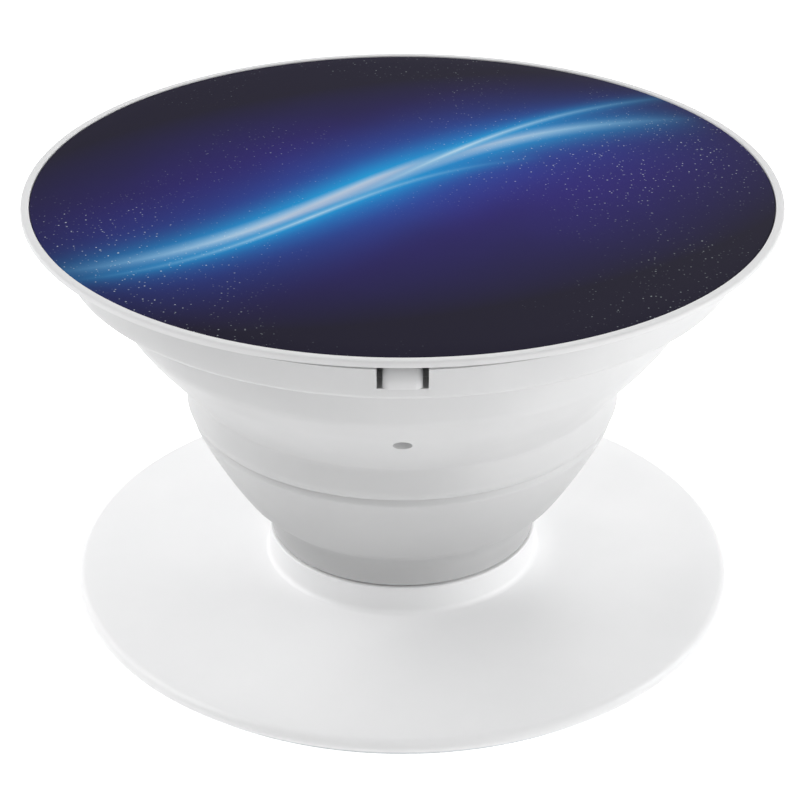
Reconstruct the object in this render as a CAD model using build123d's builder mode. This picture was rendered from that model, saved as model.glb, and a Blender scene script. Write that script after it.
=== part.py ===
# Collapsible phone grip, drawn out: a printed cap in a folding neck, which turns on a stick-on base
from build123d import *
import os

# Driving dimensions, in millimetres

# Stick-on base: gel pad, thin plate that rises towards a hub, and a split post on the hub
pad_inset = 0.8
pad_thickness = 0.6
base_reach = 0.5
base_edge_height = 0.75
base_rise = 0.6
hub_diameter = 15.0
hub_height = 1.6
hub_foot_bevel = 0.25
post_diameter = 9.2
post_wall = 1.2
post_overhang = 0.7
post_head_height = 0.55
post_lead = 0.3
post_slot_width = 0.9
post_bore_floor = 0.8

# Folding neck, moulded in one piece: foot, lower web, ring, upper web, wall and snap band
# The lower web leaves the foot by a ledge, bulges and ends at a groove under the ring
# The ring tapers upwards and ends in a small step, and a shoulder joins the upper web to the wall
neck_wall = 0.75
foot_wall = 1.1
foot_diameter = 14.76
foot_height = 1.65
lip_thickness = 0.9
ledge_width = 1.3
ledge_rise = 0.9
lower_web_height = 5.78
lower_web_bulge = 0.15
waist_diameter = 23.1
groove_depth = 0.27
groove_height = 0.47
ring_proud = 0.3
ring_taper = 0.15
ring_height = 1.6
ring_step = 0.2
upper_web_height = 4.45
shoulder_width = 0.75
shoulder_rise = 1.1
upper_wall_diameter = 31.0
upper_wall_taper = 0.35
upper_wall_height = 2.95
band_diameter = 35.8
band_height = 2.2
band_wall = 1.0
band_floor = 0.6
vent_diameter = 0.65
vent_rise = 2.85

# Snap hooks of the cap and the windows that they spring into
hook_count = 4
hook_width = 1.9
hook_proud = 0.05
hook_bevel = 0.3
hook_lean = 0.7
window_height = 1.1
window_corner = 0.25
window_side_gap = 0.28
finger_slot_width = 0.5

# Cap: thin rim with a recess for the printed disc, and a skirt inside the band
cap_diameter = 40.0
rim_edge_height = 0.32
rim_lip_width = 0.45
rim_thickness = 0.55
rim_seat_width = 0.9
plate_thickness = 1.1
skirt_wall = 1.0
print_thickness = 0.3
print_setback = 0.05

# Clearances
swivel_clearance = 0.1
seat_clearance = 0.05
cut_margin = 0.5

# Radii worked out from the driving dimensions
band_radius = band_diameter / 2
base_radius = band_radius + base_reach
pad_radius = base_radius - pad_inset
hub_radius = hub_diameter / 2
post_radius = post_diameter / 2
post_head_radius = post_radius + post_overhang
post_bore_radius = post_radius - post_wall
foot_radius = foot_diameter / 2
lip_radius = post_radius + swivel_clearance
ledge_radius = foot_radius + ledge_width
waist_radius = waist_diameter / 2
groove_radius = waist_radius - groove_depth
ring_radius = waist_radius + ring_proud
ring_top_radius = ring_radius - ring_taper
upper_wall_radius = upper_wall_diameter / 2
wall_foot_radius = upper_wall_radius - upper_wall_taper
shoulder_radius = wall_foot_radius - shoulder_width
band_inner_radius = band_radius - band_wall
hook_face_radius = band_radius + hook_proud
cap_radius = cap_diameter / 2
recess_radius = cap_radius - rim_lip_width
print_radius = recess_radius - seat_clearance
skirt_radius = band_inner_radius - seat_clearance
skirt_inner_radius = skirt_radius - skirt_wall
hook_root_radius = skirt_radius - skirt_wall / 2
rim_seat_radius = band_radius + rim_seat_width
window_width = hook_width + 2 * window_side_gap
finger_slot_offset = (hook_width + finger_slot_width) / 2

# Heights above the underside of the pad
base_bottom = pad_thickness
base_edge_top = base_bottom + base_edge_height
hub_foot = base_edge_top + base_rise
hub_top = hub_foot + hub_height
post_bore_bottom = base_bottom + post_bore_floor
foot_bottom = hub_top + swivel_clearance
foot_top = foot_bottom + foot_height
lip_top = foot_bottom + lip_thickness
post_head_bottom = lip_top + swivel_clearance
post_top = post_head_bottom + post_head_height
ledge_top = foot_top + ledge_rise
lower_web_top = foot_top + lower_web_height
ring_bottom = lower_web_top + groove_height
ring_top = ring_bottom + ring_height
vent_level = ring_top + vent_rise
upper_web_bottom = ring_top + ring_step
upper_web_top = upper_web_bottom + upper_web_height
shoulder_bottom = upper_web_top - shoulder_rise
band_bottom = upper_web_top + upper_wall_height
band_floor_top = band_bottom + band_floor
band_top = band_bottom + band_height
window_top = band_floor_top + window_height
window_middle = (band_floor_top + window_top) / 2
skirt_bottom = band_floor_top + seat_clearance
hook_top = window_top - seat_clearance
rim_bottom = band_top + seat_clearance
recess_floor = rim_bottom + rim_thickness
cap_top = recess_floor + print_thickness + print_setback
rim_edge_bottom = cap_top - rim_edge_height
plate_bottom = recess_floor - plate_thickness
finger_slot_height = plate_bottom - skirt_bottom
finger_slot_middle = skirt_bottom + finger_slot_height / 2

# Planes round the axis, the first at the front: each outward plane faces away from the axis, Y up
hook_turns = [index * 360 / hook_count for index in range(hook_count)]
outward_planes = [Plane.XZ.rotated((0, 0, turn)) for turn in hook_turns]
radial_planes = [Plane.XZ.rotated((0, 0, turn - 90)) for turn in hook_turns]

os.makedirs("parts", exist_ok=True)


def bulged_middle(low, high, bulge):
    """Gives the middle of a web's flank, pushed outwards by the bulge."""
    span = Vector(*high) - Vector(*low)
    outward = Vector(span.Y, -span.X).normalized()
    return Vector(*low) + span / 2 + outward * bulge


# Gel pad, the face that sticks to the phone
with BuildPart() as adhesive_pad:
    with BuildSketch():
        Circle(pad_radius)
    extrude(amount=pad_thickness)
adhesive_pad.part.label = "adhesive_pad"
export_step(adhesive_pad.part, "parts/adhesive_pad.step")

# Base plate with its hub and the split post that the neck's lip snaps over
with BuildPart() as base_plate:
    with BuildSketch(Plane.XZ) as base_section:
        with BuildLine():
            Polyline(
                (0, base_bottom),
                (base_radius, base_bottom),
                (base_radius, base_edge_top),
                (hub_radius, hub_foot),
                (hub_radius, hub_top),
                (post_radius, hub_top),
                (post_radius, post_head_bottom),
                (post_head_radius, post_head_bottom),
                (post_head_radius, post_top - post_lead),
                (post_head_radius - post_lead, post_top),
                (post_bore_radius, post_top),
                (post_bore_radius, post_bore_bottom),
                (0, post_bore_bottom),
                close=True,
            )
        make_face()
        hub_foot_corner = base_section.vertices().sort_by_distance(Vector(hub_radius, hub_foot))[0]
        chamfer(hub_foot_corner, length=hub_foot_bevel)
    revolve(axis=Axis.Z)
    with BuildSketch(Plane.XY.offset(hub_top)):
        with PolarLocations(0, 2, angular_range=180):
            Rectangle(2 * post_head_radius + cut_margin, post_slot_width)
    extrude(amount=post_top + cut_margin - hub_top, mode=Mode.SUBTRACT)
base_plate.part.label = "base_plate"
export_step(base_plate.part, "parts/base_plate.step")

# Folding neck: one turned section, up its outside and down its inside, then the windows and the vent
with BuildPart() as accordion_neck:
    with BuildSketch(Plane.XZ):
        with BuildLine():
            Polyline(
                (lip_radius, foot_bottom),
                (foot_radius, foot_bottom),
                (foot_radius, foot_top),
                (ledge_radius, ledge_top),
                bulged_middle((ledge_radius, ledge_top), (waist_radius, lower_web_top), lower_web_bulge),
                (waist_radius, lower_web_top),
                (groove_radius, ring_bottom),
                (ring_radius, ring_bottom),
                (ring_top_radius, ring_top),
                (waist_radius, upper_web_bottom),
                (shoulder_radius, shoulder_bottom),
                (wall_foot_radius, upper_web_top),
                (upper_wall_radius, band_bottom),
                (band_radius, band_bottom),
                (band_radius, band_top),
                (band_inner_radius, band_top),
                (band_inner_radius, band_floor_top),
                (wall_foot_radius - neck_wall, band_floor_top),
                (wall_foot_radius - neck_wall, upper_web_top),
                (waist_radius - neck_wall, ring_top),
                (waist_radius - neck_wall, ring_bottom),
                (foot_radius - foot_wall, lip_top),
                (lip_radius, lip_top),
                close=True,
            )
        make_face()
    revolve(axis=Axis.Z)
    with BuildSketch(*[plane.offset(skirt_radius) for plane in outward_planes]):
        with Locations((0, window_middle)):
            RectangleRounded(window_width, window_height, window_corner)
    extrude(amount=band_radius + cut_margin - skirt_radius, mode=Mode.SUBTRACT)
    with BuildSketch(outward_planes[0].offset(waist_radius - neck_wall)):
        with Locations((0, vent_level)):
            Circle(vent_diameter / 2)
    extrude(amount=upper_wall_radius - waist_radius + neck_wall, mode=Mode.SUBTRACT)
accordion_neck.part.label = "accordion_neck"
export_step(accordion_neck.part, "parts/accordion_neck.step")

# Cap: rim, recess, plate and skirt in one turned section, with a hook on each freed finger
# A hook is bevelled below and leans back towards its top
with BuildPart() as top_cap:
    with BuildSketch(Plane.XZ):
        with BuildLine():
            Polyline(
                (0, plate_bottom),
                (skirt_inner_radius, plate_bottom),
                (skirt_inner_radius, skirt_bottom),
                (skirt_radius, skirt_bottom),
                (skirt_radius, rim_bottom),
                (rim_seat_radius, rim_bottom),
                (cap_radius, rim_edge_bottom),
                (cap_radius, cap_top),
                (recess_radius, cap_top),
                (recess_radius, recess_floor),
                (0, recess_floor),
                close=True,
            )
        make_face()
    revolve(axis=Axis.Z)
    with BuildSketch(*radial_planes):
        Polygon(
            (hook_root_radius, skirt_bottom),
            (hook_face_radius - hook_bevel, skirt_bottom),
            (hook_face_radius, skirt_bottom + hook_bevel),
            (hook_face_radius - hook_lean, hook_top),
            (hook_root_radius, hook_top),
            align=None,
        )
    extrude(amount=hook_width / 2, both=True)
    with BuildSketch(*[plane.offset(skirt_inner_radius - cut_margin) for plane in outward_planes]):
        slot_places = [(side * finger_slot_offset, finger_slot_middle) for side in (-1, 1)]
        with Locations(*slot_places):
            Rectangle(finger_slot_width, finger_slot_height)
    extrude(amount=skirt_wall + 2 * cut_margin, mode=Mode.SUBTRACT)
top_cap.part.label = "top_cap"
export_step(top_cap.part, "parts/top_cap.step")

# Printed disc, laid in the cap's recess just below the lip
with BuildPart() as print_disc:
    with BuildSketch(Plane.XY.offset(recess_floor)):
        Circle(print_radius)
    extrude(amount=print_thickness)
print_disc.part.label = "print_disc"
export_step(print_disc.part, "parts/print_disc.step")
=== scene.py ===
"""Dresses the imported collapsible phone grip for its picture.

Moulded pieces with rounded edges and curved webs stand for the plain solids, the cap carries an abstract
printed face, and soft lamps all round light the grip in a white studio.
"""

import logging
import math
from dataclasses import dataclass
from enum import Enum
from typing import Callable, Sequence

import bpy
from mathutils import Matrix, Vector


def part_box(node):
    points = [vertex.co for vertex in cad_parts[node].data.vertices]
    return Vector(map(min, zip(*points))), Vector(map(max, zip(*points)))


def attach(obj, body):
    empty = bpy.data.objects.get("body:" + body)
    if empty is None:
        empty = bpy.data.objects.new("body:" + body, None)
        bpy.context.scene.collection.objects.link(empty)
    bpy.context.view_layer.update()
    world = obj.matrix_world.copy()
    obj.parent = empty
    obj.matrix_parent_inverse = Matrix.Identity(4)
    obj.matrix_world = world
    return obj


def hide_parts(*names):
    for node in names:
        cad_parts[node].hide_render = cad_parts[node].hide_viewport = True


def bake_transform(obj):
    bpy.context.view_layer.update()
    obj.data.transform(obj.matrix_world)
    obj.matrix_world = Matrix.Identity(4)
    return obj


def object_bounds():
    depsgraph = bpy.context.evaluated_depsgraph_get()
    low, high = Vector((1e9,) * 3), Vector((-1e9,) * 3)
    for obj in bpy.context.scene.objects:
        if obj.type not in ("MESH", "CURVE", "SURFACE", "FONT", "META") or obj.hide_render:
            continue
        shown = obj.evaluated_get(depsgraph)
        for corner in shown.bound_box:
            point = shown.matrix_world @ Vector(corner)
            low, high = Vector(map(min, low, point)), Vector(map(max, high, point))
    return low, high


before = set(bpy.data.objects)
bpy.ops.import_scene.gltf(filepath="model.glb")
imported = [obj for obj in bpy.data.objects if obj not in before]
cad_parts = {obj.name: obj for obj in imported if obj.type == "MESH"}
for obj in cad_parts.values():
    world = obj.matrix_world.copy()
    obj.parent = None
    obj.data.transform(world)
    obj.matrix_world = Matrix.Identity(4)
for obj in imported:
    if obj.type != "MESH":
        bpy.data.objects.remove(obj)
CAD_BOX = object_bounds()

LOG = logging.getLogger("phone_grip")
MM = 0.001
FULL_TURN = 2 * math.pi
TURN_STEPS = 192
PLAIN_RUN = 2 * MM
CRISP_ANGLE = math.radians(32)
WELD = 1e-6

# Ends of the range that noise is spread from: the first pair gives clearer clouds than the second
CLOUD_RANGE = (0.35, 0.65)
NOISE_RANGE = (0.3, 0.7)

Colour = tuple[float, float, float]
Socket = bpy.types.NodeSocket
Source = Socket | float | Colour


class Body(Enum):
    """The bodies of the grip that a piece can ride on."""

    BASE = "base"
    NECK = "neck"
    TOP = "top"


class Slot(Enum):
    """Names of material slots, which no piece in this script is given."""

    GEL = "gel"
    PLASTIC = "white_plastic"
    ELASTOMER = "white_elastomer"
    FILM = "printed_film"


class Join(Enum):
    """The ways in which one solid is worked into another."""

    CUT = "DIFFERENCE"
    FUSE = "UNION"


@dataclass(frozen=True)
class Corner:
    """A corner of a turned section.

    Attributes:
        radius: Distance from the grip's axis, in metres.
        height: Height above the underside of the pad, in metres.
        rounding: How far from the corner its rounding starts, or 0 for a sharp corner.
    """

    radius: float
    height: float
    rounding: float = 0.0


class Bench:
    """Short calls for modelling one piece at a time in edit mode."""

    @staticmethod
    def begin() -> None:
        """Leaves nothing selected, so that the next operator acts on the new piece alone."""
        bpy.ops.object.select_all(action="DESELECT")

    @staticmethod
    def edit() -> None:
        """Opens the active piece for editing."""
        bpy.ops.object.mode_set(mode="EDIT")

    @staticmethod
    def close() -> None:
        """Ends the editing of the active piece."""
        bpy.ops.object.mode_set(mode="OBJECT")

    @staticmethod
    def select_points(piece: bpy.types.Object, test: Callable[[Vector], bool]) -> None:
        """Selects the points of a piece in edit mode that pass a test.

        Args:
            piece: The piece that is being edited.
            test: Takes a point's place and says whether it counts.
        """
        bpy.ops.mesh.select_mode(type="VERT")
        bpy.ops.mesh.select_all(action="DESELECT")
        Bench.close()
        for vertex in piece.data.vertices:
            vertex.select = test(vertex.co)
        Bench.edit()

    @staticmethod
    def select_edges(piece: bpy.types.Object, test: Callable[[Vector, Vector], bool]) -> int:
        """Selects the edges of a piece in edit mode whose two ends pass a test together.

        Args:
            piece: The piece that is being edited.
            test: Takes the places of an edge's ends and says whether it counts.

        Returns:
            The number of edges selected.
        """
        bpy.ops.mesh.select_mode(type="EDGE")
        bpy.ops.mesh.select_all(action="DESELECT")
        Bench.close()
        mesh = piece.data
        count = 0
        for edge in mesh.edges:
            edge.select = test(*(mesh.vertices[index].co for index in edge.vertices))
            count += edge.select
        Bench.edit()
        return count

    @staticmethod
    def block(name: str, centre: Vector, size: Vector) -> bpy.types.Object:
        """Adds a block at its size and place, left open for editing.

        Args:
            name: The block's name.
            centre: The middle of the block.
            size: The block's width, depth and height.

        Returns:
            The new block, in edit mode.
        """
        Bench.begin()
        bpy.ops.mesh.primitive_cube_add(size=1.0, location=centre, scale=size)
        piece = bpy.context.object
        piece.name = name
        bpy.ops.object.transform_apply(location=True, rotation=True, scale=True)
        Bench.edit()
        return piece

    @staticmethod
    def copy_round(count: int, sweep: float = FULL_TURN) -> None:
        """Repeats the whole of the edited mesh about the grip's axis.

        Args:
            count: The number of places round the axis, with the first already there.
            sweep: The angle that the places share out between them.
        """
        bpy.ops.mesh.select_all(action="SELECT")
        for _ in range(count - 1):
            bpy.ops.mesh.duplicate()
            bpy.ops.transform.rotate(value=sweep / count, orient_axis="Z", center_override=(0, 0, 0))
        bpy.ops.mesh.select_all(action="SELECT")

    @staticmethod
    def take_up(piece: bpy.types.Object) -> None:
        """Leaves one piece selected and active.

        Args:
            piece: The piece to take up.
        """
        Bench.begin()
        piece.select_set(True)
        bpy.context.view_layer.objects.active = piece

    @staticmethod
    def work_in(piece: bpy.types.Object, tool: bpy.types.Object, join: Join) -> None:
        """Cuts a tool's shape out of a piece or fuses it on, and removes the tool.

        Args:
            piece: The piece to change.
            tool: The solid to cut with or to add.
            join: Whether the tool is cut out or fused on.
        """
        modifier = piece.modifiers.new(join.value.title(), "BOOLEAN")
        modifier.operation = join.value
        modifier.solver = "EXACT"
        modifier.object = tool
        Bench.take_up(piece)
        bpy.ops.object.modifier_apply(modifier=modifier.name)
        bpy.data.objects.remove(tool)

    @staticmethod
    def dress(piece: bpy.types.Object, material: bpy.types.Material) -> None:
        """Shades a piece smooth, with its sharper edges left crisp, and gives it its material.

        Args:
            piece: The piece to dress.
            material: The material of the whole piece.
        """
        Bench.take_up(piece)
        bpy.ops.object.shade_smooth_by_angle(angle=CRISP_ANGLE)
        piece.data.materials.append(material)


class TurnedPiece:
    """A section drawn as a wire in the plane of X and Z, with rounded corners, and turned about the axis."""

    ROUNDING_STEPS = 5

    def __init__(
        self, name: str, corners: Sequence[Corner], closed: bool = False, longest_run: float = PLAIN_RUN
    ) -> None:
        """Keeps the section.

        Args:
            name: The piece's name.
            corners: The section's corners in order, from the axis to the axis unless it is closed.
            closed: Whether the last corner joins the first, as in a tube's section.
            longest_run: The longest straight step that is left between two rings of the mesh.
        """
        self.name = name
        self.corners = corners
        self.closed = closed
        self.longest_run = longest_run

    def build(self) -> bpy.types.Object:
        """Draws and turns the section.

        Returns:
            The finished piece, in object mode.
        """
        self.piece = self._draw_wire()
        self._round_corners()
        self._divide_runs()
        self._turn()
        return self.piece

    def _draw_wire(self) -> bpy.types.Object:
        """Draws the section by extruding a single point from corner to corner.

        Returns:
            The wire, in edit mode.
        """
        first = self.corners[0]
        Bench.begin()
        bpy.ops.mesh.primitive_plane_add(size=MM, location=(first.radius, 0, first.height))
        piece = bpy.context.object
        piece.name = self.name
        Bench.edit()
        bpy.ops.mesh.select_mode(type="VERT")
        bpy.ops.mesh.select_all(action="SELECT")
        bpy.ops.mesh.merge(type="CENTER")
        for here, after in zip(self.corners, self.corners[1:]):
            step = (after.radius - here.radius, 0, after.height - here.height)
            bpy.ops.mesh.extrude_vertices_move(TRANSFORM_OT_translate={"value": step})
        Bench.close()
        bpy.ops.object.transform_apply(location=True)
        Bench.edit()
        if self.closed:
            ends = (self.corners[0], self.corners[-1])
            Bench.select_points(piece, lambda place: any(self._is_at(place, end) for end in ends))
            bpy.ops.mesh.edge_face_add()
        return piece

    @staticmethod
    def _is_at(place: Vector, corner: Corner) -> bool:
        """Says whether a point of the wire is a corner of the section."""
        return (place - Vector((corner.radius, 0, corner.height))).length < WELD

    def _round_corners(self) -> None:
        """Rounds each corner of the wire that has a rounding."""
        for corner in self.corners:
            if corner.rounding:
                Bench.select_points(self.piece, lambda place: self._is_at(place, corner))
                bpy.ops.mesh.bevel(affect="VERTICES", offset=corner.rounding, segments=self.ROUNDING_STEPS)

    def _divide_runs(self) -> None:
        """Halves the long straight runs until none is longer than the longest run."""
        while Bench.select_edges(self.piece, lambda low, high: (high - low).length > self.longest_run):
            bpy.ops.mesh.subdivide(number_cuts=1)

    def _turn(self) -> None:
        """Spins the wire round the axis and closes its seam and poles."""
        bpy.ops.mesh.select_mode(type="VERT")
        bpy.ops.mesh.select_all(action="SELECT")
        bpy.ops.mesh.spin(steps=TURN_STEPS, angle=FULL_TURN, center=(0, 0, 0), axis=(0, 0, 1))
        bpy.ops.mesh.select_all(action="SELECT")
        bpy.ops.mesh.remove_doubles(threshold=WELD)
        bpy.ops.mesh.normals_make_consistent(inside=False)
        Bench.close()


class ShaderGraph:
    """A material's node tree, with short calls for adding and joining its nodes."""

    def __init__(self, name: str) -> None:
        """Starts a material with a principled shader and nothing else.

        Args:
            name: The material's name.
        """
        self.material = bpy.data.materials.new(name)
        self.material.use_nodes = True
        self.tree = self.material.node_tree
        self.tree.nodes.clear()
        self.shader = self.tree.nodes.new("ShaderNodeBsdfPrincipled")
        output = self.tree.nodes.new("ShaderNodeOutputMaterial")
        self.tree.links.new(self.shader.outputs["BSDF"], output.inputs["Surface"])

    def feed(self, socket: Socket, source: Source) -> None:
        """Gives an input its value, or joins it to another node's output.

        Args:
            socket: The input.
            source: A node's output, or the value itself.
        """
        if isinstance(source, bpy.types.NodeSocket):
            self.tree.links.new(source, socket)
        elif isinstance(source, tuple) and socket.type == "RGBA":
            socket.default_value = (*source, 1.0)
        else:
            socket.default_value = source

    def place(self, size: float, turn: float = 0.0) -> Socket:
        """Gives the surface's own coordinates.

        Args:
            size: The length in metres that counts as one unit.
            turn: How far the pattern is turned about the grip's axis, in radians.

        Returns:
            The coordinates.
        """
        coordinates = self.tree.nodes.new("ShaderNodeTexCoord")
        mapping = self.tree.nodes.new("ShaderNodeMapping")
        mapping.inputs["Scale"].default_value = (1 / size, 1 / size, 1 / size)
        mapping.inputs["Rotation"].default_value = (0, 0, turn)
        self.tree.links.new(coordinates.outputs["Object"], mapping.inputs["Vector"])
        return mapping.outputs["Vector"]

    def split(self, place: Socket) -> tuple[Socket, Socket, Socket]:
        """Takes a place apart.

        Args:
            place: The coordinates.

        Returns:
            The parts along X, Y and Z.
        """
        node = self.tree.nodes.new("ShaderNodeSeparateXYZ")
        self.feed(node.inputs[0], place)
        return node.outputs["X"], node.outputs["Y"], node.outputs["Z"]

    def noise(self, place: Socket, detail: float = 2.0) -> Socket:
        """Gives soft noise with features about one unit across.

        Args:
            place: The coordinates.
            detail: How many finer layers the noise has.

        Returns:
            The noise, about 0.5 on average.
        """
        node = self.tree.nodes.new("ShaderNodeTexNoise")
        self.feed(node.inputs["Vector"], place)
        self.feed(node.inputs["Scale"], 1.0)
        self.feed(node.inputs["Detail"], detail)
        return node.outputs["Fac"]

    def cells(self, place: Socket, scale: float = 1.0) -> bpy.types.Node:
        """Adds a texture of cells, each with its own chance colour.

        Args:
            place: The coordinates.
            scale: How many cells there are in one unit.

        Returns:
            The texture's node.
        """
        node = self.tree.nodes.new("ShaderNodeTexVoronoi")
        self.feed(node.inputs["Vector"], place)
        self.feed(node.inputs["Scale"], scale)
        return node

    def math(self, operation: str, first: Source, second: Source = 0.0, clamp: bool = False) -> Socket:
        """Joins two values by an operation.

        Args:
            operation: The Math node's operation.
            first: The first value.
            second: The second value, for operations that take two.
            clamp: Whether the result is kept between 0 and 1.

        Returns:
            The result.
        """
        node = self.tree.nodes.new("ShaderNodeMath")
        node.operation = operation
        node.use_clamp = clamp
        self.feed(node.inputs[0], first)
        self.feed(node.inputs[1], second)
        return node.outputs["Value"]

    def spread(self, value: Socket, low: float, high: float, to_low: float, to_high: float) -> Socket:
        """Carries a value over from one range to another, and keeps it in the second.

        Args:
            value: The value.
            low: The start of the first range.
            high: The end of the first range.
            to_low: The start of the second range.
            to_high: The end of the second range.

        Returns:
            The value in its new range.
        """
        node = self.tree.nodes.new("ShaderNodeMapRange")
        names = ("Value", "From Min", "From Max", "To Min", "To Max")
        for name, source in zip(names, (value, low, high, to_low, to_high)):
            self.feed(node.inputs[name], source)
        return node.outputs["Result"]

    def mix(self, share: Source, first: Source, second: Source, blend: str = "MIX") -> Socket:
        """Mixes two colours.

        Args:
            share: The share of the second colour.
            first: The first colour.
            second: The second colour.
            blend: The way of mixing.

        Returns:
            The mixed colour.
        """
        node = self.tree.nodes.new("ShaderNodeMix")
        node.data_type = "RGBA"
        node.blend_type = blend
        self.feed(node.inputs["Factor"], share)
        self.feed(node.inputs[6], first)
        self.feed(node.inputs[7], second)
        return node.outputs[2]

    def bump(self, height: Socket, depth: float) -> Socket:
        """Turns a height into a shading normal.

        Args:
            height: The height, in units of the depth.
            depth: The depth of the relief, in metres.

        Returns:
            The normal.
        """
        node = self.tree.nodes.new("ShaderNodeBump")
        node.inputs["Strength"].default_value = 1.0
        node.inputs["Distance"].default_value = depth
        self.feed(node.inputs["Height"], height)
        return node.outputs["Normal"]

    def surface(self, **sources: Source) -> None:
        """Feeds the principled shader's inputs, with spaces in their names written as underscores."""
        for name, source in sources.items():
            self.feed(self.shader.inputs[name.replace("_", " ")], source)


@dataclass(frozen=True)
class MouldedFinish:
    """A moulded surface with faint clouds of shade and gloss, and the fine grain of its mould.

    Attributes:
        name: The material's name.
        colour: The mean colour.
        shade: The colour of the slightly greyer clouds in it.
        roughness: The lowest and highest roughness.
        cloud_size: Width of the clouds of shade and gloss.
        cloud_detail: How many finer layers the clouds have.
        grain_size: Width of the grain.
        grain_depth: Depth of the grain.
        gloss: The shader's specular level.
    """

    name: str
    colour: Colour
    shade: Colour
    roughness: tuple[float, float]
    cloud_size: float
    cloud_detail: float
    grain_size: float
    grain_depth: float
    gloss: float

    def material(self) -> bpy.types.Material:
        """Builds the material.

        Returns:
            The material.
        """
        graph = ShaderGraph(self.name)
        clouds = graph.noise(graph.place(self.cloud_size), self.cloud_detail)
        grain = graph.noise(graph.place(self.grain_size))
        share = graph.spread(clouds, *CLOUD_RANGE, 0.0, 1.0)
        graph.surface(
            Base_Color=self._complete(graph, graph.mix(share, self.colour, self.shade)),
            Roughness=graph.spread(clouds, *NOISE_RANGE, *self.roughness),
            Normal=graph.bump(grain, self.grain_depth),
            Specular_IOR_Level=self.gloss,
        )
        return graph.material

    def _complete(self, graph: ShaderGraph, colour: Socket) -> Socket:
        """Gives the surface's colour, which a plain finish leaves as it is."""
        return colour


@dataclass(frozen=True)
class SatinPlastic(MouldedFinish):
    """White moulded plastic with the fine grain of an etched mould."""

    name: str = "satin_white_plastic"
    colour: Colour = (0.925, 0.925, 0.93)
    shade: Colour = (0.905, 0.907, 0.912)
    roughness: tuple[float, float] = (0.34, 0.44)
    cloud_size: float = 6.0 * MM
    cloud_detail: float = 3.0
    grain_size: float = 0.09 * MM
    grain_depth: float = 0.0015 * MM
    gloss: float = 0.45


@dataclass(frozen=True)
class CapPlastic(SatinPlastic):
    """The cap's plastic, a little greyer and much duller than the base's."""

    name: str = "satin_cap_plastic"
    colour: Colour = (0.88, 0.88, 0.885)
    shade: Colour = (0.865, 0.867, 0.872)
    roughness: tuple[float, float] = (0.5, 0.6)
    gloss: float = 0.02


@dataclass(frozen=True)
class SoftElastomer(MouldedFinish):
    """Soft white elastomer: duller than the plastic, a little see-into, and made darker towards the foot by
    painted shade.

    Attributes:
        see_into: Share of the light that spreads inside before it leaves.
        see_depth: How far that light spreads.
        painted_foot_shade: Colour multiplied in as painted shade at the foot; it stands in for the shade that
            falls low on the neck.
        painted_shade_full_height: Height up to which the painted shade is at full strength.
        painted_shade_fade: Height over which the painted shade fades out.
    """

    name: str = "soft_white_elastomer"
    colour: Colour = (0.77, 0.771, 0.775)
    shade: Colour = (0.75, 0.752, 0.757)
    roughness: tuple[float, float] = (0.46, 0.56)
    cloud_size: float = 4.0 * MM
    cloud_detail: float = 4.0
    grain_size: float = 0.06 * MM
    grain_depth: float = 0.0012 * MM
    gloss: float = 0.4
    see_into: float = 0.08
    see_depth: float = 0.5 * MM
    painted_foot_shade: Colour = (0.68, 0.68, 0.68)
    painted_shade_full_height: float = 4.3 * MM
    painted_shade_fade: float = 12.0 * MM

    def _complete(self, graph: ShaderGraph, colour: Socket) -> Socket:
        """Lets light into the surface, and paints shade that darkens the neck towards its foot.

        Args:
            graph: The material.
            colour: The colour so far.

        Returns:
            The colour with the painted shade at the foot in it.
        """
        graph.surface(
            Subsurface_Weight=self.see_into,
            Subsurface_Radius=(1.0, 1.0, 1.0),
            Subsurface_Scale=self.see_depth,
        )
        # Painted shade: the colour is multiplied darker towards the foot, in place of the shade that falls
        # low on the neck.
        height = graph.split(graph.place(self.painted_shade_fade))[2]
        start = self.painted_shade_full_height / self.painted_shade_fade
        foot = graph.spread(height, start, start + 1, 1.0, 0.0)
        return graph.mix(foot, colour, self.painted_foot_shade, blend="MULTIPLY")


@dataclass(frozen=True)
class TackyGel:
    """Milky gel with tiny bubbles, which holds the grip on a phone.

    Attributes:
        name: The material's name.
        colour: The colour of the gel.
        shade: The colour of its bubbles.
        bubble_size: Distance between bubbles.
        bubble_edge: Where a bubble starts to fade and where it ends, as shares of that distance.
        ripple_size: Width of the shallow ripples in its face.
        ripple_depth: Depth of the ripples.
        roughness: The lowest and highest roughness.
        see_into: Share of the light that spreads inside before it leaves.
        see_depth: How far that light spreads.
    """

    name: str = "tacky_gel"
    colour: Colour = (0.80, 0.82, 0.84)
    shade: Colour = (0.90, 0.91, 0.92)
    bubble_size: float = 0.7 * MM
    bubble_edge: tuple[float, float] = (0.08, 0.2)
    ripple_size: float = 2.4 * MM
    ripple_depth: float = 0.02 * MM
    roughness: tuple[float, float] = (0.16, 0.3)
    see_into: float = 0.5
    see_depth: float = 0.8 * MM

    def material(self) -> bpy.types.Material:
        """Builds the material.

        Returns:
            The material.
        """
        graph = ShaderGraph(self.name)
        cells = graph.cells(graph.place(self.bubble_size))
        bubbles = graph.spread(cells.outputs["Distance"], *self.bubble_edge, 1.0, 0.0)
        ripples = graph.noise(graph.place(self.ripple_size))
        graph.surface(
            Base_Color=graph.mix(bubbles, self.colour, self.shade),
            Roughness=graph.spread(ripples, *NOISE_RANGE, *self.roughness),
            Normal=graph.bump(ripples, self.ripple_depth),
            Subsurface_Weight=self.see_into,
            Subsurface_Radius=(1.0, 1.0, 1.0),
            Subsurface_Scale=self.see_depth,
        )
        return graph.material


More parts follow.
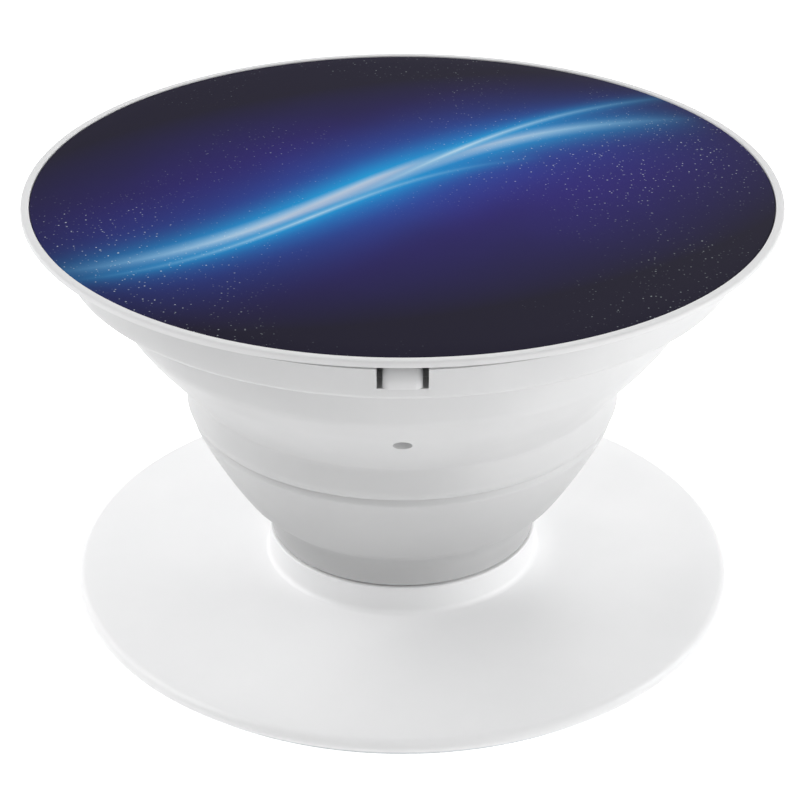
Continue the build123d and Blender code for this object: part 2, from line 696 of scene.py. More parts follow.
@dataclass(frozen=True)
class LightRibbon:
    """One wave of light across the printed face, in units of the face's radius.

    Attributes:
        level: Height of the wave's middle line.
        swing: Height of the wave.
        waves: Radians of the wave in one radius.
        phase: Shift of the wave, in radians.
        core: Half width of the brightest line.
        reach: How far the glow spreads from the line.
        centre: Place along the wave where it is brightest.
        length: How far the light reaches along the wave.
        strength: Brightness, with 1 for the full colours.
    """

    level: float
    swing: float
    waves: float
    phase: float
    core: float
    reach: float
    centre: float
    length: float
    strength: float


@dataclass(frozen=True)
class PrintedFilm:
    """Printed film with an abstract design: waves of blue light and fine specks on a dark ground.

    Attributes:
        name: The material's name.
        radius: Radius of the printed face.
        turn: How far the design is turned on the face, in radians.
        night: The dark colour near the edge.
        violet: The colour of the ground in the middle.
        blue: The colour of the outer glow.
        cyan: The colour of the inner glow.
        white: The colour of the brightest lines and specks.
        ribbons: The waves of light.
        ink_size: Width of the ink's grain.
        ink_depth: Depth of the ink's grain.
        roughness: The lowest and highest roughness.
        gloss: The shader's specular level.
    """

    HAZE_SQUEEZE = (0.75, 1.25)
    HAZE_RANGE = (0.1, 0.95)
    HAZE_THINNEST = 0.55
    GLOW_FALL = 2.2
    INNER_FALL = 3.0
    CORE_FALL = 1.6
    SPECKS = ((30.0, 0.10), (52.0, 0.14), (80.0, 0.2))
    SPECK_HEART = 0.3
    SPECK_RARITY = 3.2
    DRIFT_RANGE = (0.4, 0.58)

    name: str = "printed_film"
    radius: float = 19.5 * MM
    turn: float = math.radians(-24)
    night: Colour = (0.019, 0.017, 0.032)
    violet: Colour = (0.052, 0.036, 0.33)
    blue: Colour = (0.024, 0.13, 0.50)
    cyan: Colour = (0.02, 0.55, 0.93)
    white: Colour = (0.86, 0.95, 0.98)
    ribbons: tuple[LightRibbon, ...] = (
        LightRibbon(
            level=0.02, swing=0.17, waves=2.3, phase=0.35,
            core=0.018, reach=0.22, centre=-0.05, length=1.05, strength=1.5,
        ),
        LightRibbon(
            level=0.05, swing=0.25, waves=1.9, phase=0.05,
            core=0.007, reach=0.09, centre=0.25, length=0.8, strength=0.8,
        ),
        LightRibbon(
            level=-0.08, swing=0.13, waves=2.9, phase=0.85,
            core=0.006, reach=0.08, centre=-0.3, length=0.75, strength=0.7,
        ),
    )
    ink_size: float = 0.05 * MM
    ink_depth: float = 0.0008 * MM
    roughness: tuple[float, float] = (0.46, 0.56)
    gloss: float = 0.008

    def material(self) -> bpy.types.Material:
        """Builds the material.

        Returns:
            The material.
        """
        graph = ShaderGraph(self.name)
        place = graph.place(self.radius, self.turn)
        along, across, _ = graph.split(place)
        colour = self._ground(graph, place, along, across)
        for ribbon in self.ribbons:
            colour = self._add_ribbon(graph, colour, ribbon, along, across)
        ink = graph.noise(graph.place(self.ink_size))
        graph.surface(
            Base_Color=self._add_specks(graph, colour, place),
            Roughness=graph.spread(ink, *NOISE_RANGE, *self.roughness),
            Normal=graph.bump(ink, self.ink_depth),
            Specular_IOR_Level=self.gloss,
        )
        return graph.material

    def _ground(self, graph: ShaderGraph, place: Socket, along: Socket, across: Socket) -> Socket:
        """Lays the dark ground, with a violet haze across its middle.

        Args:
            graph: The material.
            place: The design's coordinates.
            along: Place along the waves.
            across: Place across the waves.

        Returns:
            The ground's colour.
        """
        wide, tall = self.HAZE_SQUEEZE
        ways = (graph.math("MULTIPLY", along, wide), graph.math("MULTIPLY", across, tall))
        squares = graph.math("ADD", *(graph.math("MULTIPLY", way, way) for way in ways))
        haze = graph.spread(graph.math("SQRT", squares), *self.HAZE_RANGE, 1.0, 0.0)
        clouds = graph.noise(place, detail=4.0)
        thickness = graph.spread(clouds, *NOISE_RANGE, self.HAZE_THINNEST, 1.0)
        return graph.mix(graph.math("MULTIPLY", haze, thickness, clamp=True), self.night, self.violet)

    def _add_ribbon(
        self, graph: ShaderGraph, colour: Socket, ribbon: LightRibbon, along: Socket, across: Socket
    ) -> Socket:
        """Adds one wave of light to the design.

        Args:
            graph: The material.
            colour: The design so far.
            ribbon: The wave.
            along: Place along the waves.
            across: Place across the waves.

        Returns:
            The design with the wave in it.
        """
        angle = graph.math("ADD", graph.math("MULTIPLY", along, ribbon.waves), ribbon.phase)
        wave = graph.math("MULTIPLY", graph.math("SINE", angle), ribbon.swing)
        line = graph.math("ADD", wave, ribbon.level)
        gap = graph.math("ABSOLUTE", graph.math("SUBTRACT", across, line))
        past = graph.math("ABSOLUTE", graph.math("SUBTRACT", along, ribbon.centre))
        fade = graph.spread(past, 0.0, ribbon.length, ribbon.strength, 0.0)
        strong = graph.math("MULTIPLY", fade, fade)
        for reach, fall, light, tone in (
            (2 * ribbon.reach, self.GLOW_FALL, fade, self.blue),
            (ribbon.reach, self.INNER_FALL, fade, self.cyan),
            (3 * ribbon.core, self.CORE_FALL, strong, self.white),
        ):
            halo = graph.math("POWER", graph.spread(gap, 0.0, reach, 1.0, 0.0), fall)
            colour = graph.mix(graph.math("MULTIPLY", halo, light, clamp=True), colour, tone)
        return colour

    def _add_specks(self, graph: ShaderGraph, colour: Socket, place: Socket) -> Socket:
        """Adds fine specks of light, each with its own brightness.

        Args:
            graph: The material.
            colour: The design so far.
            place: The design's coordinates.

        Returns:
            The design with the specks in it.
        """
        clouds = graph.noise(place, detail=3.0)
        drift = graph.spread(clouds, *self.DRIFT_RANGE, 0.0, 1.0)
        for scale, size in self.SPECKS:
            cells = graph.cells(place, scale)
            chance = graph.tree.nodes.new("ShaderNodeSeparateColor")
            graph.feed(chance.inputs[0], cells.outputs["Color"])
            dot = graph.spread(cells.outputs["Distance"], self.SPECK_HEART * size, size, 1.0, 0.0)
            bright = graph.math("POWER", chance.outputs[0], self.SPECK_RARITY)
            share = graph.math("MULTIPLY", graph.math("MULTIPLY", dot, bright), drift, clamp=True)
            colour = graph.mix(share, colour, self.white)
        return colour


@dataclass(frozen=True)
class SnapFit:
    """The hooks of the cap and the windows of the neck's band, which fit each other.

    Attributes:
        count: Number of hooks round the axis, the first at the front.
        hook_width: Width of a hook.
        side_gap: Room on each side of a hook in its window.
        window_height: Height of a window.
        window_corner: Rounding of a window's corners.
        seat_gap: Room between a hook and the top of its window.
    """

    count: int = 4
    hook_width: float = 1.9 * MM
    side_gap: float = 0.28 * MM
    window_height: float = 1.1 * MM
    window_corner: float = 0.12 * MM
    seat_gap: float = 0.05 * MM

    def flank(self, name: str, centre: Vector, size: Vector) -> bpy.types.Object:
        """Models a solid that cuts a slot on each side of every hook.

        Args:
            name: The solid's name.
            centre: The middle of the slot on the left of the front hook.
            size: The slot's width, depth and height.

        Returns:
            The cutting solid.
        """
        slots = Bench.block(name, centre, size)
        bpy.ops.mesh.select_all(action="SELECT")
        bpy.ops.mesh.duplicate()
        bpy.ops.transform.translate(value=(-2 * centre.x, 0, 0))
        Bench.copy_round(self.count)
        Bench.close()
        return slots


@dataclass
class StickOnBase:
    """The gel pad and the base plate with its hub and split post.

    Attributes:
        plastic: The finish of the plate.
        gel: The finish of the pad.
        edge_height: Height of the plate's edge.
        edge_rounding: Rounding of the edge's upper side.
        edge_undercut: Rounding of its lower side.
        rise: How far the plate rises towards the hub.
        hub_radius: Radius of the hub.
        hub_height: Height of the hub.
        hub_foot_rounding: Rounding of the hub's foot.
        post_radius: Radius of the split post.
        post_wall: Wall of the split post.
        post_overhang: How far the post's head stands out.
        post_head: Height of the post's head.
        post_slot: Width of the post's cross slots.
        post_floor: Thickness of the plate under the post's bore.
        small_rounding: Rounding of the smaller edges.
    """

    plastic: SatinPlastic
    gel: TackyGel
    edge_height: float = 0.75 * MM
    edge_rounding: float = 0.42 * MM
    edge_undercut: float = 0.3 * MM
    rise: float = 0.6 * MM
    hub_radius: float = 7.5 * MM
    hub_height: float = 1.6 * MM
    hub_foot_rounding: float = 0.3 * MM
    post_radius: float = 4.6 * MM
    post_wall: float = 1.2 * MM
    post_overhang: float = 0.7 * MM
    post_head: float = 0.55 * MM
    post_slot: float = 0.9 * MM
    post_floor: float = 0.8 * MM
    small_rounding: float = 0.1 * MM

    def build(self) -> list[bpy.types.Object]:
        """Models and dresses the pad and the plate.

        Returns:
            The two pieces.
        """
        return [self._build_pad(), self._build_plate()]

    def _build_pad(self) -> bpy.types.Object:
        """Models the gel pad as a disc with soft edges.

        Returns:
            The pad.
        """
        low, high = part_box("adhesive_pad")
        corners = (
            Corner(0, low.z),
            Corner(high.x, low.z, self.small_rounding),
            Corner(high.x, high.z, self.small_rounding),
            Corner(0, high.z),
        )
        pad = TurnedPiece("gel_pad", corners).build()
        Bench.dress(pad, self.gel.material())
        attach(pad, Body.BASE.value)
        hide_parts("adhesive_pad")
        return pad

    def _build_plate(self) -> bpy.types.Object:
        """Models the plate, its hub and its split post.

        Returns:
            The plate.
        """
        low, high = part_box("base_plate")
        edge_top = low.z + self.edge_height
        hub_foot = edge_top + self.rise
        hub_top = hub_foot + self.hub_height
        head_bottom = high.z - self.post_head
        head_radius = self.post_radius + self.post_overhang
        bore_radius = self.post_radius - self.post_wall
        bore_floor = low.z + self.post_floor
        corners = (
            Corner(0, low.z),
            Corner(high.x, low.z, self.edge_undercut),
            Corner(high.x, edge_top, self.edge_rounding),
            Corner(self.hub_radius, hub_foot, self.hub_foot_rounding),
            Corner(self.hub_radius, hub_top, self.small_rounding),
            Corner(self.post_radius, hub_top),
            Corner(self.post_radius, head_bottom),
            Corner(head_radius, head_bottom),
            Corner(head_radius, high.z, 2 * self.small_rounding),
            Corner(bore_radius, high.z, self.small_rounding),
            Corner(bore_radius, bore_floor),
            Corner(0, bore_floor),
        )
        plate = TurnedPiece("stick_on_base", corners).build()
        slot_height = 2 * (high.z - hub_top)
        slot_size = Vector((4 * head_radius, self.post_slot, slot_height))
        slots = Bench.block("post_slots", Vector((0, 0, hub_top + slot_height / 2)), slot_size)
        Bench.copy_round(2, sweep=FULL_TURN / 2)
        Bench.close()
        Bench.work_in(plate, slots, Join.CUT)
        Bench.dress(plate, self.plastic.material())
        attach(plate, Body.BASE.value)
        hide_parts("base_plate")
        return plate


@dataclass
class FoldingNeck:
    """The one-piece folding neck: foot, lower web, ring, upper web, wall and snap band.

    Attributes:
        elastomer: The finish of the neck.
        snap: The fit of its windows.
        wall: Thickness of the wall at the hinge lines.
        foot_wall: Thickness of the wall in the foot.
        foot_radius: Radius of the foot.
        foot_height: Height of the foot.
        lip_radius: Inner radius of the lip that turns on the base's post.
        lip_thickness: Thickness of that lip.
        ledge_width: How far the lower web's ledge reaches out from the foot.
        ledge_rise: How far the ledge climbs.
        ledge_rounding: Rounding between the foot and the ledge.
        lower_web: Height of the lower web.
        crown_radius: Radius of the lower web where it bulges most.
        crown_share: Height of that place, as a share of the web above the ledge.
        waist_radius: Radius of the hinge lines above and below the ring.
        groove_depth: Depth of the groove under the ring.
        groove_height: Height of that groove.
        ring_proud: How far the ring stands out from the waist.
        ring_taper: How much narrower the ring is at its top.
        ring_height: Height of the ring.
        ring_step: Height of the small step above the ring.
        bevel_width: Width of the bevel on the ring's lower edge.
        bevel_height: Height of that bevel.
        upper_web: Height of the upper web.
        shoulder_width: How far the upper web's shoulder reaches out.
        shoulder_rise: How far the shoulder climbs.
        shoulder_rounding: Rounding between the shoulder and the wall.
        wall_radius: Radius of the wall under the band.
        wall_taper: How much narrower the wall is at its foot.
        band_height: Height of the band.
        band_wall: Thickness of the band.
        band_floor: Thickness of the floor that the cap's skirt stands on.
        band_rounding: Rounding of the band's lower edge.
        line_drop: Distance of the fine groove under the cap's rim from the band's top.
        line_height: Height of that groove.
        line_depth: Depth of that groove.
        edge_rounding: Rounding of the edges of ring and band.
        web_rounding: Rounding of the bends in the webs.
        pocket_depth: Depth of the pockets in the floor on each side of a hook.
        pocket_sill: Wall that is left between a pocket and the outside.
        vent_radius: Radius of the hole that lets air out.
        vent_mouth: How much wider the hole's mouth is.
        vent_mouth_depth: How deep the wide mouth goes.
        vent_rise: Height of the hole above the ring.
    """

    LONGEST_RUN = 0.5 * MM
    WINDOW_STEPS = 3
    POCKET_SHARE = 0.8
    VENT_SIDES = 48
    VENT_RINGS = 11

    elastomer: SoftElastomer
    snap: SnapFit
    wall: float = 0.75 * MM
    foot_wall: float = 1.1 * MM
    foot_radius: float = 7.38 * MM
    foot_height: float = 1.65 * MM
    lip_radius: float = 4.7 * MM
    lip_thickness: float = 0.9 * MM
    ledge_width: float = 1.35 * MM
    ledge_rise: float = 0.85 * MM
    ledge_rounding: float = 0.65 * MM
    lower_web: float = 5.78 * MM
    crown_radius: float = 10.42 * MM
    crown_share: float = 0.525
    waist_radius: float = 11.55 * MM
    groove_depth: float = 0.27 * MM
    groove_height: float = 0.47 * MM
    ring_proud: float = 0.3 * MM
    ring_taper: float = 0.24 * MM
    ring_height: float = 1.6 * MM
    ring_step: float = 0.2 * MM
    bevel_width: float = 0.22 * MM
    bevel_height: float = 0.36 * MM
    upper_web: float = 4.45 * MM
    shoulder_width: float = 0.75 * MM
    shoulder_rise: float = 1.1 * MM
    shoulder_rounding: float = 0.3 * MM
    wall_radius: float = 15.5 * MM
    wall_taper: float = 0.35 * MM
    band_height: float = 2.2 * MM
    band_wall: float = 1.0 * MM
    band_floor: float = 0.6 * MM
    band_rounding: float = 0.28 * MM
    line_drop: float = 0.45 * MM
    line_height: float = 0.13 * MM
    line_depth: float = 0.2 * MM
    edge_rounding: float = 0.09 * MM
    web_rounding: float = 0.8 * MM
    pocket_depth: float = 0.4 * MM
    pocket_sill: float = 0.12 * MM
    vent_radius: float = 0.34 * MM
    vent_mouth: float = 1.45
    vent_mouth_depth: float = 0.38 * MM
    vent_rise: float = 2.85 * MM

    def __post_init__(self) -> None:
        """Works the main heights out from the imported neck."""
        low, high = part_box("accordion_neck")
        self.bottom = low.z
        self.top = high.z
        self.band_radius = high.x
        self.foot_top = self.bottom + self.foot_height
        self.groove_bottom = self.foot_top + self.lower_web
        self.ring_bottom = self.groove_bottom + self.groove_height
        self.ring_top = self.ring_bottom + self.ring_height
        self.web_bottom = self.ring_top + self.ring_step
        self.web_top = self.web_bottom + self.upper_web
        self.wall_foot = self.wall_radius - self.wall_taper
        self.shoulder_radius = self.wall_foot - self.shoulder_width
        self.band_bottom = self.top - self.band_height
        self.band_floor_top = self.band_bottom + self.band_floor
        self.line_top = self.top - self.line_drop

    def build(self) -> list[bpy.types.Object]:
        """Models and dresses the neck.

        Returns:
            The neck, alone in a list.
        """
        neck = TurnedPiece("folding_neck", self._section(), closed=True, longest_run=self.LONGEST_RUN).build()
        for tool in (self._windows(), self._pockets(), self._vent()):
            Bench.work_in(neck, tool, Join.CUT)
        Bench.dress(neck, self.elastomer.material())
        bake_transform(neck)
        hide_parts("accordion_neck")
        return [neck]

    def _section(self) -> tuple[Corner, ...]:
        """Draws up the neck's section, up its outside and down its inside.

        Returns:
            The section's corners in order.
        """
        small = self.edge_rounding
        bend = self.web_rounding
        ledge_radius = self.foot_radius + self.ledge_width
        ledge_top = self.foot_top + self.ledge_rise
        crown = ledge_top + self.crown_share * (self.groove_bottom - ledge_top)
        ring_radius = self.waist_radius + self.ring_proud
        ring_top_radius = ring_radius - self.ring_taper
        band_inner = self.band_radius - self.band_wall
        return (
            Corner(self.lip_radius, self.bottom, small),
            Corner(self.foot_radius, self.bottom, small),
            Corner(self.foot_radius, self.foot_top, self.ledge_rounding),
            Corner(ledge_radius, ledge_top, bend),
            Corner(self.crown_radius, crown, 2 * bend),
            Corner(self.waist_radius, self.groove_bottom, small),
            Corner(self.waist_radius - self.groove_depth, self.ring_bottom, 2 * small),
            Corner(ring_radius - self.bevel_width, self.ring_bottom, small / 2),
            Corner(ring_radius, self.ring_bottom + self.bevel_height, 2 * small),
            Corner(ring_top_radius, self.ring_top, small / 2),
            Corner(ring_top_radius, self.web_bottom, small),
            Corner(self.shoulder_radius, self.web_top - self.shoulder_rise, self.shoulder_rounding),
            Corner(self.wall_foot, self.web_top, self.shoulder_rounding),
            Corner(self.wall_radius, self.band_bottom, 2 * small),
            Corner(self.band_radius, self.band_bottom, self.band_rounding),
            Corner(self.band_radius, self.line_top - self.line_height),
            Corner(self.band_radius - self.line_depth, self.line_top - self.line_height),
            Corner(self.band_radius - self.line_depth, self.line_top),
            Corner(self.band_radius, self.line_top),
            Corner(self.band_radius, self.top, small),
            Corner(band_inner, self.top, small),
            Corner(band_inner, self.band_floor_top),
            Corner(self.wall_foot - self.wall, self.band_floor_top, small),
            Corner(self.wall_foot - self.wall, self.web_top, bend),
            Corner(self.waist_radius - self.wall, self.ring_top, small),
            Corner(self.waist_radius - self.wall, self.ring_bottom, small),
            Corner(self.foot_radius - self.foot_wall, self.bottom + self.lip_thickness, small),
            Corner(self.lip_radius, self.bottom + self.lip_thickness, small),
        )

    def _windows(self) -> bpy.types.Object:
        """Models the solid that cuts the windows of the band.

        Returns:
            The cutting solid.
        """
        width = self.snap.hook_width + 2 * self.snap.side_gap
        depth = 3 * self.band_wall
        middle = Vector((0, -self.band_radius, self.band_floor_top + self.snap.window_height / 2))
        windows = Bench.block("windows", middle, Vector((width, depth, self.snap.window_height)))
        for side in (-1, 1):
            Bench.select_edges(
                windows,
                lambda near, far: all(end.x * side > 0 and end.z > middle.z for end in (near, far)),
            )
            bpy.ops.mesh.bevel(offset=self.snap.window_corner, segments=self.WINDOW_STEPS)
        Bench.copy_round(self.snap.count)
        Bench.close()
        return windows

    def _pockets(self) -> bpy.types.Object:
        """Models the solid that cuts a pocket in the floor on each side of every hook.

        Returns:
            The cutting solid.
        """
        gap = self.snap.side_gap
        offset = (self.snap.hook_width + gap) / 2
        outer = self.band_radius - self.pocket_sill
        inner = self.band_radius - 2 * self.band_wall
        size = Vector((self.POCKET_SHARE * gap, outer - inner, 2 * self.pocket_depth))
        return self.snap.flank("pockets", Vector((-offset, -(outer + inner) / 2, self.band_floor_top)), size)

    def _vent(self) -> bpy.types.Object:
        """Models the solid that cuts the vent hole square to the upper web, with a wider mouth.

        Returns:
            The cutting solid.
        """
        climb = self.web_top - self.shoulder_rise - self.web_bottom
        lean = math.atan2(self.shoulder_radius - self.waist_radius, climb)
        level = self.ring_top + self.vent_rise
        skin = self.waist_radius + math.tan(lean) * (level - self.web_bottom)
        mouth = Vector((0, -skin, level))
        outward = Vector((0, -math.cos(lean), -math.sin(lean)))
        Bench.begin()
        bpy.ops.mesh.primitive_cylinder_add(
            vertices=self.VENT_SIDES,
            radius=self.vent_radius,
            depth=2 * self.wall,
            location=mouth,
            rotation=outward.to_track_quat("Z", "Y").to_euler(),
        )
        vent = bpy.context.object
        vent.name = "vent"
        bpy.ops.object.transform_apply(location=True, rotation=True, scale=True)
        Bench.edit()

        def height(place: Vector) -> float:
            """Gives how far a place lies outside the plane of the mouth."""
            return (place - mouth).dot(outward)

        Bench.select_edges(vent, lambda near, far: height(near) * height(far) < 0)
        bpy.ops.mesh.subdivide(number_cuts=self.VENT_RINGS)
        steps = (self.VENT_RINGS + 1) // 2
        step = self.wall / steps
        for ring in range(-round(self.vent_mouth_depth / step), steps + 1):
            way = ring * step
            Bench.select_points(vent, lambda place: abs(height(place) - way) < WELD)
            bpy.ops.transform.resize(value=(self.vent_mouth,) * 3, center_override=mouth + outward * way)
        Bench.close()
        return vent


@dataclass
class SnapCap:
    """The cap with its rim, skirt and snap hooks, and the printed face in its recess.

    Attributes:
        plastic: The finish of the cap.
        film: The finish of the printed face.
        snap: The fit of its hooks.
        edge_height: Height of the rim's edge.
        lip_width: Width of the lip round the printed face.
        rim_thickness: Thickness of the rim above the band.
        seat_radius: Radius of the flat under the rim that sits on the band.
        plate_thickness: Thickness of the cap's plate.
        skirt_radius: Outer radius of the skirt.
        skirt_wall: Thickness of the skirt.
        print_gap: Depth of the recess below the lip that the print leaves.
        print_thickness: Thickness of the printed film.
        hook_face: Radius of the hooks' faces.
        hook_lean: How far the hooks' faces lean back at their top.
        hook_rounding: Rounding of the hooks' sides.
        hook_drop: How far the hooks reach below the skirt, towards the sill of their windows.
        finger_slot: Width of the slots that free the hooks.
        rim_rounding: Rounding of the rim's upper edge.
        edge_rounding: Rounding of the edges.
    """

    HOOK_ROWS = 8
    HOOK_STEPS = 5
    LEAN_POWER = 2.2

    plastic: SatinPlastic
    film: PrintedFilm
    snap: SnapFit
    edge_height: float = 0.32 * MM
    lip_width: float = 0.45 * MM
    rim_thickness: float = 0.55 * MM
    seat_radius: float = 18.8 * MM
    plate_thickness: float = 1.1 * MM
    skirt_radius: float = 16.85 * MM
    skirt_wall: float = 1.0 * MM
    print_gap: float = 0.05 * MM
    print_thickness: float = 0.3 * MM
    hook_face: float = 17.95 * MM
    hook_lean: float = 1.4 * MM
    hook_rounding: float = 0.36 * MM
    hook_drop: float = 0.04 * MM
    finger_slot: float = 0.5 * MM
    rim_rounding: float = 0.14 * MM
    edge_rounding: float = 0.1 * MM

    def __post_init__(self) -> None:
        """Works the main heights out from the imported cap."""
        low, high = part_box("top_cap")
        self.bottom = low.z
        self.top = high.z
        self.radius = high.x
        self.recess_floor = self.top - self.print_gap - self.print_thickness
        self.rim_bottom = self.recess_floor - self.rim_thickness
        self.plate_bottom = self.recess_floor - self.plate_thickness
        self.skirt_inner = self.skirt_radius - self.skirt_wall

    def build(self) -> list[bpy.types.Object]:
        """Models and dresses the cap and its printed face.

        Returns:
            The two pieces.
        """
        return [self._build_cap(), self._build_print()]

    def _build_cap(self) -> bpy.types.Object:
        """Models the cap as one turned piece, with its hooks fused on and freed by slots.

        Returns:
            The cap.
        """
        recess = self.radius - self.lip_width
        small = self.edge_rounding
        corners = (
            Corner(0, self.plate_bottom),
            Corner(self.skirt_inner, self.plate_bottom, small),
            Corner(self.skirt_inner, self.bottom, small),
            Corner(self.skirt_radius, self.bottom, small),
            Corner(self.skirt_radius, self.rim_bottom),
            Corner(self.seat_radius, self.rim_bottom, small),
            Corner(self.radius, self.top - self.edge_height, small / 3),
            Corner(self.radius, self.top, self.rim_rounding),
            Corner(recess, self.top, small / 2),
            Corner(recess, self.recess_floor),
            Corner(0, self.recess_floor),
        )
        cap = TurnedPiece("snap_cap", corners).build()
        Bench.work_in(cap, self._hooks(), Join.FUSE)
        Bench.work_in(cap, self._finger_slots(), Join.CUT)
        Bench.dress(cap, self.plastic.material())
        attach(cap, Body.TOP.value)
        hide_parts("top_cap")
        return cap

    def _hooks(self) -> bpy.types.Object:
        """Models the hooks: tongues that lean out from deep in their windows to their lower ends.

        Returns:
            The hooks, as one tool.
        """
        root = self.skirt_radius - self.skirt_wall / 2
        bottom = self.bottom - self.hook_drop
        height = self.snap.window_height - 2 * self.snap.seat_gap + self.hook_drop
        size = Vector((self.snap.hook_width, self.hook_face - root, height))
        middle = Vector((0, -(self.hook_face + root) / 2, bottom + height / 2))
        hooks = Bench.block("hooks", middle, size)
        Bench.select_edges(hooks, lambda low, high: low.y < middle.y and abs(high.z - low.z) > WELD)
        bpy.ops.mesh.subdivide(number_cuts=self.HOOK_ROWS - 1)
        for row in range(self.HOOK_ROWS + 1):
            share = row / self.HOOK_ROWS
            level = bottom + share * height
            Bench.select_points(hooks, lambda place: place.y < middle.y and abs(place.z - level) < WELD)
            bpy.ops.transform.translate(value=(0, self._hook_inset(share), 0))
        Bench.select_edges(
            hooks,
            lambda low, high: max(low.y, high.y) < -root - WELD and low.x * high.x > 0 and high.z != low.z,
        )
        bpy.ops.mesh.bevel(offset=self.hook_rounding, segments=self.HOOK_STEPS)
        Bench.copy_round(self.snap.count)
        Bench.close()
        return hooks

    def _hook_inset(self, share: float) -> float:
        """Gives how far a hook's face stands back at one height.

        Args:
            share: The height, as a share of the hook's.

        Returns:
            The distance behind the hook's foremost line.
        """
        return self.hook_lean * share**self.LEAN_POWER

    def _finger_slots(self) -> bpy.types.Object:
        """Models the solid that cuts a slot on each side of every hook.

        Returns:
            The cutting solid.
        """
        offset = (self.snap.hook_width + self.finger_slot) / 2
        height = 2 * (self.plate_bottom - self.bottom)
        depth = 2 * self.skirt_wall
        middle = -(self.skirt_radius + self.skirt_inner) / 2
        centre = Vector((-offset, middle, self.plate_bottom - height / 2))
        return self.snap.flank("finger_slots", centre, Vector((self.finger_slot, depth, height)))

    def _build_print(self) -> bpy.types.Object:
        """Models the printed film as a thin disc with a softened edge.

        Returns:
            The printed face.
        """
        low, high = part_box("print_disc")
        corners = (
            Corner(0, low.z),
            Corner(high.x, low.z),
            Corner(high.x, high.z, self.edge_rounding / 2),
            Corner(0, high.z),
        )
        face = TurnedPiece("printed_face", corners).build()
        Bench.dress(face, self.film.material())
        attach(face, Body.TOP.value)
        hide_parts("print_disc")
        return face


@dataclass(frozen=True)
class Softbox:
    """A rectangular studio lamp.

    Attributes:
        name: The lamp's name.
        place: Where the lamp stands, in metres.
        size: The lamp's width and height.
        power: The lamp's power in watts.
    """

    name: str
    place: tuple[float, float, float]
    size: tuple[float, float]
    power: float

    def hang(self, target: Vector) -> None:
        """Adds the lamp and turns it to its target.

        Args:
            target: The point that the lamp faces.
        """
        Bench.begin()
        bpy.ops.object.light_add(type="AREA", location=self.place)
        lamp = bpy.context.object
        lamp.name = self.name
        lamp.data.shape = "RECTANGLE"
        lamp.data.size, lamp.data.size_y = self.size
        lamp.data.energy = self.power
        lamp.rotation_euler = (target - Vector(self.place)).to_track_quat("-Z", "Y").to_euler()


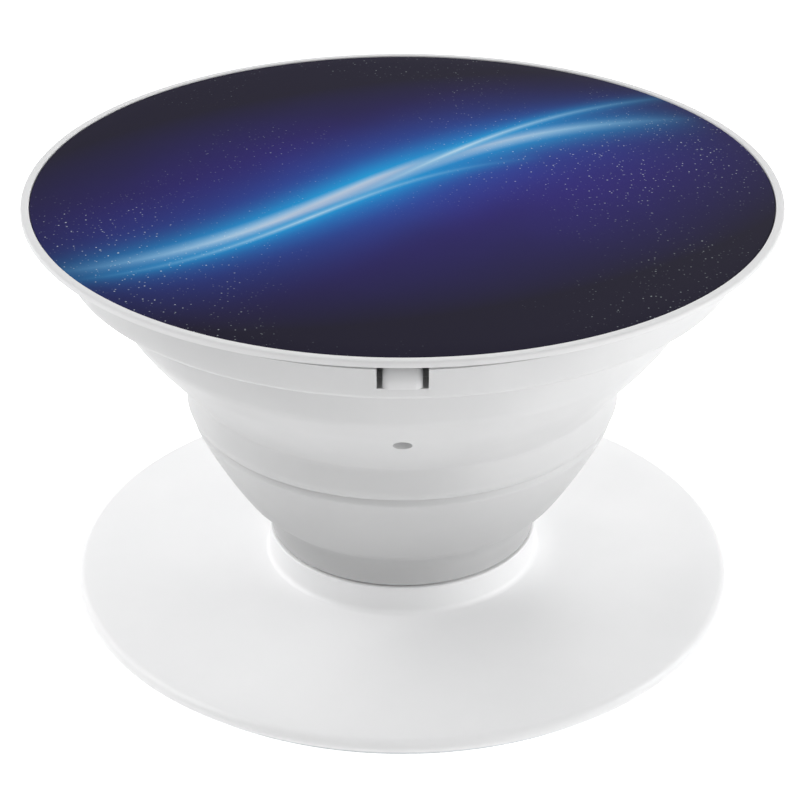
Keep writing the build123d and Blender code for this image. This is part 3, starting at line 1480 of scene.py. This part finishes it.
@dataclass(frozen=True)
class Studio:
    """A white floor, soft lamps, a white surround and the camera.

    Attributes:
        floor_size: Width of the floor.
        floor_colour: Colour that the floor reflects.
        floor_glow: Share of white that the floor shows the camera besides the light on it.
        floor_light: Share of white that the floor gives as light.
        ambient: Light that the surround gives.
        softboxes: The lamps.
        camera_place: Where the camera stands, in metres.
        camera_tilt: The camera's tilt from straight down, in radians.
        lens: The camera's focal length in millimetres.
        sensor: The width of its sensor in millimetres.
    """

    floor_size: float = 1.1
    floor_colour: Colour = (0.92, 0.92, 0.92)
    floor_glow: float = 0.75
    floor_light: float = 0.26
    ambient: float = 0.01
    softboxes: tuple[Softbox, ...] = (
        Softbox("right_softbox", (0.57, 0.0, 0.17), (0.35, 0.3), 1.88),
        Softbox("front_right_softbox", (0.44, -0.37, 0.14), (0.35, 0.25), 0.45),
        Softbox("front_softbox", (0.0, -0.444, 0.373), (0.35, 0.35), 0.6),
        Softbox("back_softbox", (0.2, 0.45, 0.34), (0.45, 0.4), 1.2),
        Softbox("back_left_softbox", (-0.38, 0.38, 0.27), (0.35, 0.45), 0.75),
        Softbox("left_softbox", (-0.46, 0.03, 0.38), (0.4, 0.45), 2.08),
    )
    camera_place: tuple[float, float, float] = (-0.000126, -0.11845, 0.075335)
    camera_tilt: float = math.radians(61.52)
    lens: float = 109.76
    sensor: float = 36.0

    def build(self) -> None:
        """Sets up floor, surround, lamps, camera and view transform."""
        self._lay_floor()
        self._light_surround()
        target = (CAD_BOX[0] + CAD_BOX[1]) / 2
        for softbox in self.softboxes:
            softbox.hang(target)
        Bench.begin()
        bpy.ops.object.camera_add(location=self.camera_place, rotation=(self.camera_tilt, 0, 0))
        camera = bpy.context.object
        camera.data.lens = self.lens
        camera.data.sensor_width = self.sensor
        camera.data.clip_start = MM
        bpy.context.scene.camera = camera
        bpy.context.scene.view_settings.view_transform = "Standard"

    @staticmethod
    def _level(tree: bpy.types.NodeTree, given: float, seen: float) -> Socket:
        """Gives one level to the rays of the camera, of gloss and of glass, and another to the rest.

        Args:
            tree: The node tree to work in.
            given: The level of the light that falls on the grip.
            seen: The level that is looked at, directly, in gloss or through glass.

        Returns:
            The level.
        """
        path = tree.nodes.new("ShaderNodeLightPath")
        share = path.outputs["Is Camera Ray"]
        for name in ("Is Glossy Ray", "Is Transmission Ray"):
            node = tree.nodes.new("ShaderNodeMath")
            node.operation = "MAXIMUM"
            tree.links.new(share, node.inputs[0])
            tree.links.new(path.outputs[name], node.inputs[1])
            share = node.outputs["Value"]
        level = tree.nodes.new("ShaderNodeMapRange")
        level.inputs["To Min"].default_value = given
        level.inputs["To Max"].default_value = seen
        tree.links.new(share, level.inputs["Value"])
        return level.outputs["Result"]

    def _lay_floor(self) -> None:
        """Lays the white floor, which keeps the grip's soft shadow."""
        Bench.begin()
        bpy.ops.mesh.primitive_plane_add(size=self.floor_size, location=(0, 0, CAD_BOX[0].z))
        floor = bpy.context.object
        floor.name = "studio_floor"
        material = bpy.data.materials.new("studio_floor")
        material.use_nodes = True
        tree = material.node_tree
        tree.nodes.clear()
        matt = tree.nodes.new("ShaderNodeBsdfDiffuse")
        matt.inputs["Color"].default_value = (*self.floor_colour, 1.0)
        glow = tree.nodes.new("ShaderNodeEmission")
        tree.links.new(self._level(tree, self.floor_light, self.floor_glow), glow.inputs["Strength"])
        both = tree.nodes.new("ShaderNodeAddShader")
        tree.links.new(matt.outputs["BSDF"], both.inputs[0])
        tree.links.new(glow.outputs["Emission"], both.inputs[1])
        output = tree.nodes.new("ShaderNodeOutputMaterial")
        tree.links.new(both.outputs["Shader"], output.inputs["Surface"])
        floor.data.materials.append(material)

    def _light_surround(self) -> None:
        """Makes the surround white to look at, with a plain level of light from it."""
        world = bpy.data.worlds.new("white_surround")
        world.use_nodes = True
        tree = world.node_tree
        tree.nodes.clear()
        background = tree.nodes.new("ShaderNodeBackground")
        tree.links.new(self._level(tree, self.ambient, 1.0), background.inputs["Strength"])
        background.inputs["Color"].default_value = (1.0, 1.0, 1.0, 1.0)
        output = tree.nodes.new("ShaderNodeOutputWorld")
        tree.links.new(background.outputs["Background"], output.inputs["Surface"])
        bpy.context.scene.world = world


def main() -> None:
    """Builds the pieces from the base up, and then the studio."""
    logging.basicConfig(level=logging.INFO, format="%(name)s: %(message)s")
    snap = SnapFit()
    assemblies = (
        StickOnBase(SatinPlastic(), TackyGel()),
        FoldingNeck(SoftElastomer(), snap),
        SnapCap(CapPlastic(), PrintedFilm(radius=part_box("print_disc")[1].x), snap),
    )
    for assembly in assemblies:
        for piece in assembly.build():
            LOG.info("%s has %d faces", piece.name, len(piece.data.polygons))
    Studio().build()


if __name__ == "__main__":
    main()
